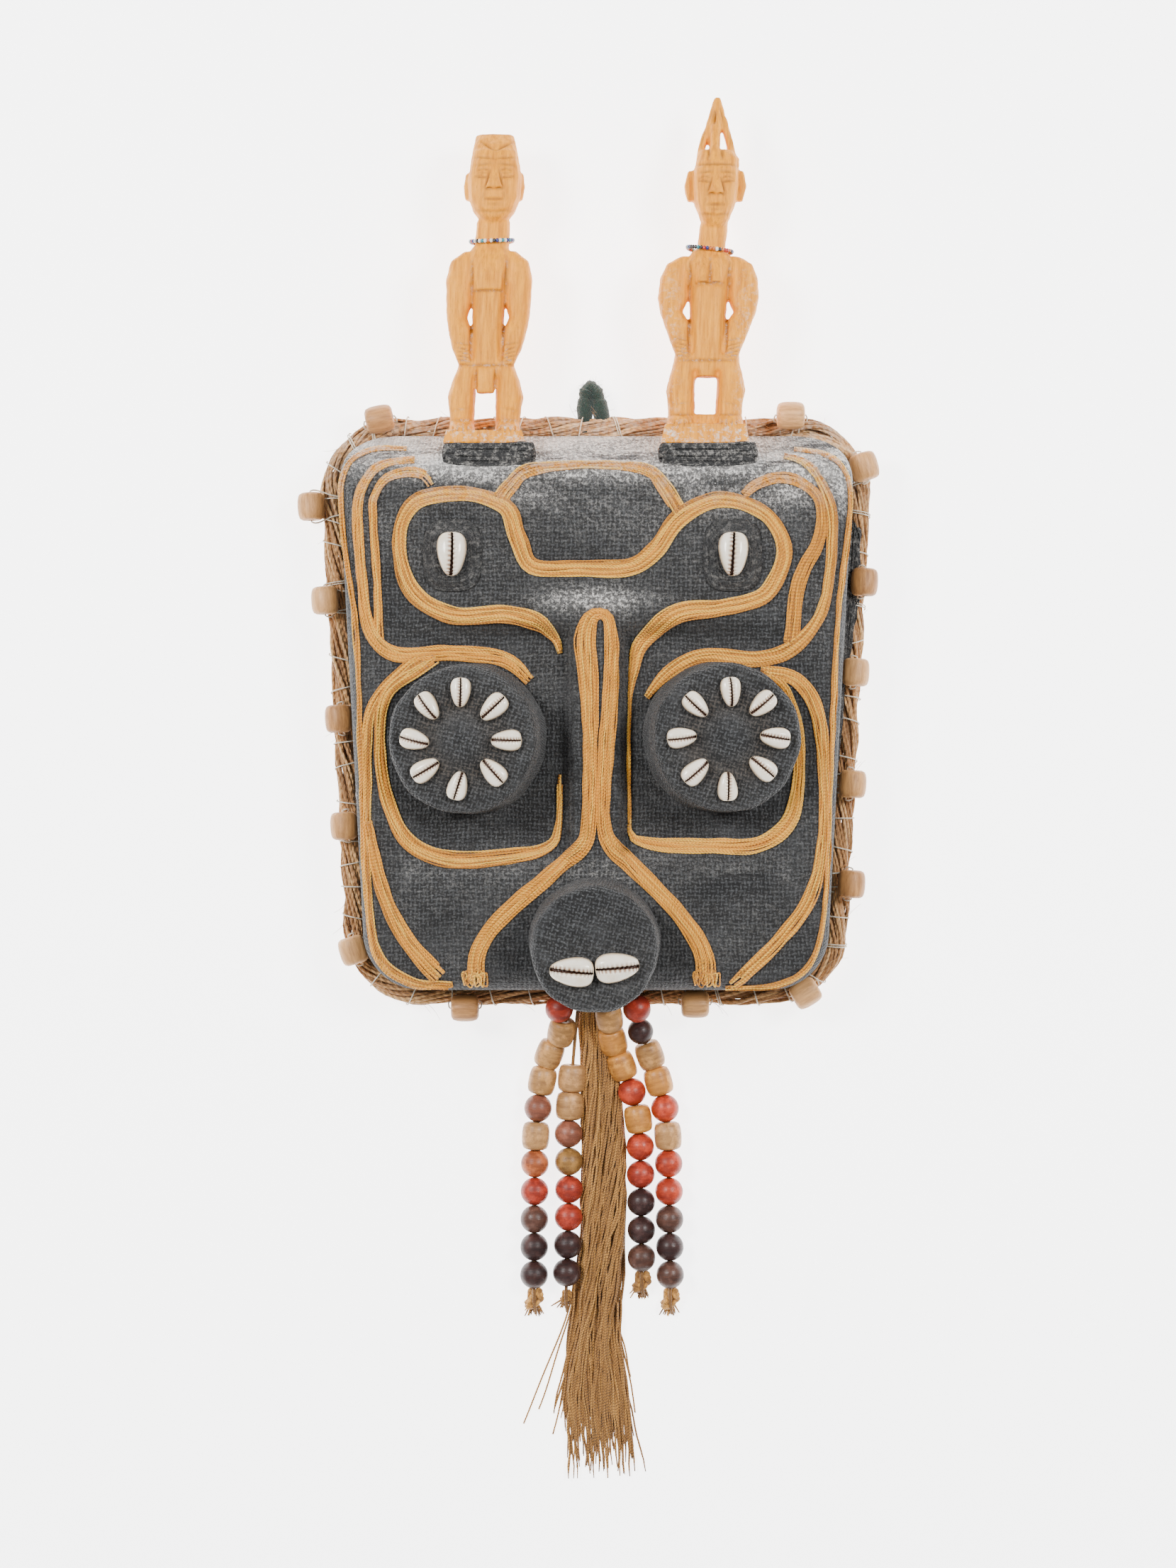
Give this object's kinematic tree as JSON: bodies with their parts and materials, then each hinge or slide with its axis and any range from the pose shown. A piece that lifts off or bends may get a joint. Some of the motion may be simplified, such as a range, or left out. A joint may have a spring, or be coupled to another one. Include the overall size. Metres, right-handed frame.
{
  "type": "shell and reed mask",
  "caption": "Wall mask of burlap-covered shell with round drum eyes and mouth set with cowrie shells, ochre thread bands, carved figures, bead strings and a cord tassel.",
  "frame": {"origin": "middle of the footprint, on the surface that the mask lies on, at its back rim", "axes": "+Z out of the face, +Y to the top of the head, +X to the right as seen from the front"},
  "size_m": [0.3196, 0.751, 0.0953],
  "materials": {
    "burlap": "coarse black burlap, dusty",
    "black_cord": "matt black cord and cloth",
    "cowrie": "glossy ivory shell",
    "ochre_thread": "twisted ochre thread, glued side by side",
    "fibre": "brown plant fibre",
    "bead_wood": "satin turned wood",
    "string_beads": "dyed wood, satin",
    "figure_wood": "knife-carved light wood",
    "seed_beads": "mixed glass seed beads",
    "green_wool": "felted wool"
  },
  "bodies": {
    "root": {"mask_shell": "burlap", "eye_drum_left": "burlap", "eye_drum_right": "burlap", "mouth_drum": "burlap", "small_eye_pad_left": "black_cord", "small_eye_pad_right": "black_cord", "base_wrap_left": "black_cord", "base_wrap_right": "black_cord", "eye_cowrie_left_1": "cowrie", "eye_cowrie_left_2": "cowrie", "eye_cowrie_left_3": "cowrie", "eye_cowrie_left_4": "cowrie", "eye_cowrie_left_5": "cowrie", "eye_cowrie_left_6": "cowrie", "eye_cowrie_left_7": "cowrie", "eye_cowrie_left_8": "cowrie", "mouth_cowrie_left": "cowrie", "small_eye_cowrie_left": "cowrie", "eye_cowrie_right_1": "cowrie", "eye_cowrie_right_2": "cowrie", "eye_cowrie_right_3": "cowrie", "eye_cowrie_right_4": "cowrie", "eye_cowrie_right_5": "cowrie", "eye_cowrie_right_6": "cowrie", "eye_cowrie_right_7": "cowrie", "eye_cowrie_right_8": "cowrie", "mouth_cowrie_right": "cowrie", "small_eye_cowrie_right": "cowrie", "brow_band": "ochre_thread", "temple_band_left": "ochre_thread", "temple_band_right": "ochre_thread", "cheek_band_left": "ochre_thread", "cheek_band_right": "ochre_thread", "nose_band": "ochre_thread", "edge_rope": "fibre", "tassel": "fibre", "edge_bead_1": "bead_wood", "edge_bead_2": "bead_wood", "edge_bead_3": "bead_wood", "edge_bead_4": "bead_wood", "edge_bead_5": "bead_wood", "edge_bead_6": "bead_wood", "edge_bead_7": "bead_wood", "edge_bead_8": "bead_wood", "edge_bead_9": "bead_wood", "edge_bead_10": "bead_wood", "edge_bead_11": "bead_wood", "edge_bead_12": "bead_wood", "edge_bead_13": "bead_wood", "edge_bead_14": "bead_wood", "edge_bead_15": "bead_wood", "bead_string_1": "string_beads", "bead_string_2": "string_beads", "bead_string_3": "string_beads", "bead_string_4": "string_beads", "figure_left": "figure_wood", "figure_right": "figure_wood", "necklace_left": "seed_beads", "necklace_right": "seed_beads", "hanging_loop": "green_wool"}
  },
  "joints": []
}
